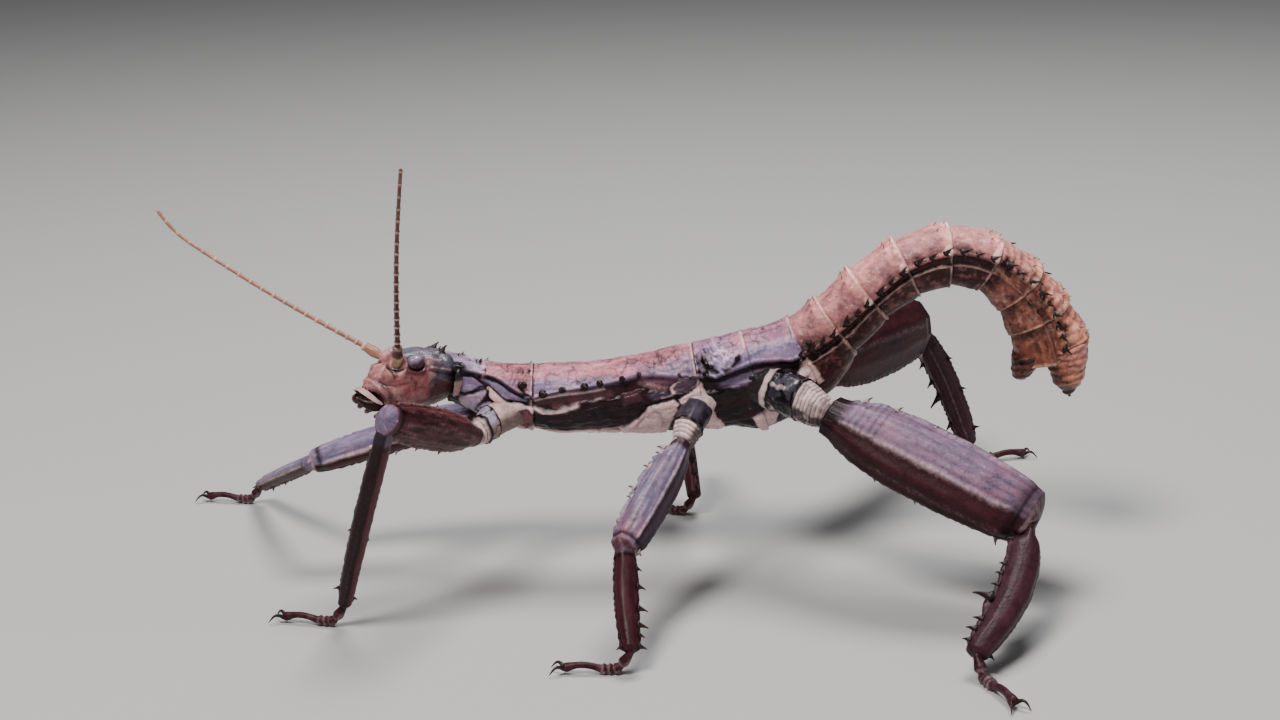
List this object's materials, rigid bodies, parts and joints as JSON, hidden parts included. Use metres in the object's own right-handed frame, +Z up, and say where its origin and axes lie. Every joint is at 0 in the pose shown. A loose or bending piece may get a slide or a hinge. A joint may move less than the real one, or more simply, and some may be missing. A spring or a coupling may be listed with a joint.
{
  "type": "stick insect",
  "caption": "Life-size male tree-lobster stick insect standing on its six feet, the abdomen raised in an arch with its tip curled down, one feeler upright and one held forward.",
  "frame": {"origin": "middle of the model's footprint, on the floor that its feet stand on", "axes": "-X the way the insect faces, -Y its left side, +Z up"},
  "size_m": [0.1498, 0.109, 0.0696],
  "materials": {
    "shell_brown": "satin pinkish-brown shell, which is chitin",
    "shell_tan": "tan shell of the tail, which is chitin",
    "leg_shell": "dark maroon shell of the legs, which is chitin",
    "joint_skin": "pale soft skin of the joints",
    "eye": "glossy purplish dark eye",
    "mouth": "dark jaws and palps",
    "feeler": "brown beaded feelers"
  },
  "bodies": {
    "root": {"abdomen_1": "shell_brown", "abdomen_10": "shell_tan", "abdomen_2": "shell_brown", "abdomen_3": "shell_brown", "abdomen_4": "shell_brown", "abdomen_5": "shell_brown", "abdomen_6": "shell_brown", "abdomen_7": "shell_tan", "abdomen_8": "shell_tan", "abdomen_9": "shell_tan", "antenna_left": "feeler", "antenna_left_base": "feeler", "antenna_right": "feeler", "antenna_right_base": "feeler", "eye_left": "eye", "eye_right": "eye", "front_left_coxa": "joint_skin", "front_left_femur": "leg_shell", "front_left_tarsus": "leg_shell", "front_left_tibia": "leg_shell", "front_right_coxa": "joint_skin", "front_right_femur": "leg_shell", "front_right_tarsus": "leg_shell", "front_right_tibia": "leg_shell", "genital_plate": "shell_tan", "head": "shell_brown", "hind_left_coxa": "joint_skin", "hind_left_femur": "leg_shell", "hind_left_tarsus": "leg_shell", "hind_left_tibia": "leg_shell", "hind_right_coxa": "joint_skin", "hind_right_femur": "leg_shell", "hind_right_tarsus": "leg_shell", "hind_right_tibia": "leg_shell", "mesothorax": "shell_brown", "metathorax": "shell_brown", "mid_left_coxa": "joint_skin", "mid_left_femur": "leg_shell", "mid_left_tarsus": "leg_shell", "mid_left_tibia": "leg_shell", "mid_right_coxa": "joint_skin", "mid_right_femur": "leg_shell", "mid_right_tarsus": "leg_shell", "mid_right_tibia": "leg_shell", "mouthparts": "mouth", "neck": "joint_skin", "prothorax": "shell_brown"}
  },
  "joints": []
}
